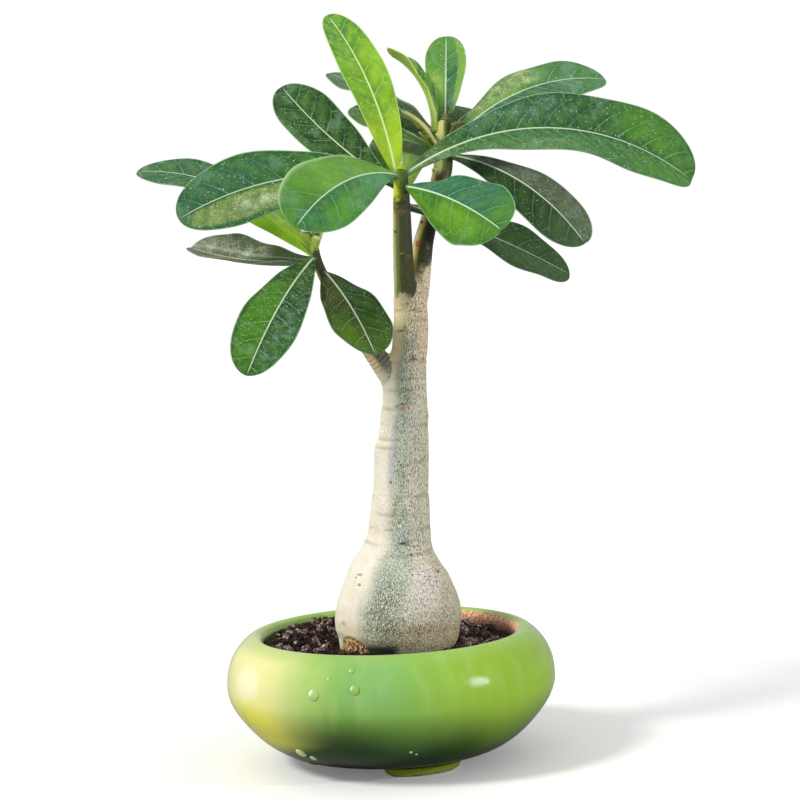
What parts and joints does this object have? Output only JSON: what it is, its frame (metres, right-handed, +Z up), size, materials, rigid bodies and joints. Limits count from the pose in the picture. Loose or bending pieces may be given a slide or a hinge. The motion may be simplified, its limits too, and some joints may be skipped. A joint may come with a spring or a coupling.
{
  "type": "potted desert rose",
  "caption": "Desert rose with a swollen caudex, two upright stems and a thin side branch of glossy leaves, planted in dark mix in a low round green-glazed bowl on feet.",
  "frame": {"origin": "centre of the whole plant's footprint, at the level the pot's feet stand on", "axes": "+Z up along the trunk; +X towards the right of the picture, where the longest leaf arches out; +Y away from the viewer"},
  "size_m": [0.2428, 0.1518, 0.3196],
  "materials": {
    "glaze": "smooth glossy yellow-green glaze, paler on the left of the belly, bare clay on the feet's undersides",
    "potting_mix": "loose dark bark mix with pale chips and crumbs",
    "bark": "thin satin skin of cream, grey-green and olive, finely streaked and ringed",
    "mature_leaf": "glossy dark green with a pale midrib and side veins",
    "young_leaf": "satin bright lime green with a pale midrib",
    "bud_green": "satin pale yellow-green"
  },
  "bodies": {
    "root": {"pot": "glaze", "soil": "potting_mix", "trunk": "bark", "leaf_front_1": "young_leaf", "leaf_front_2": "mature_leaf", "leaf_front_3": "mature_leaf", "leaf_front_4": "mature_leaf", "leaf_front_5": "mature_leaf", "leaf_front_6": "mature_leaf", "leaf_front_7": "mature_leaf", "leaf_front_8": "mature_leaf", "leaf_back_1": "mature_leaf", "leaf_back_2": "mature_leaf", "leaf_back_3": "young_leaf", "leaf_back_4": "young_leaf", "leaf_back_5": "mature_leaf", "leaf_back_6": "mature_leaf", "leaf_back_7": "mature_leaf", "leaf_left_1": "young_leaf", "leaf_left_2": "mature_leaf", "leaf_left_3": "mature_leaf", "leaf_left_4": "mature_leaf", "leaf_left_5": "mature_leaf", "bud_front": "bud_green", "bud_back": "bud_green", "bud_left": "bud_green"}
  },
  "joints": []
}
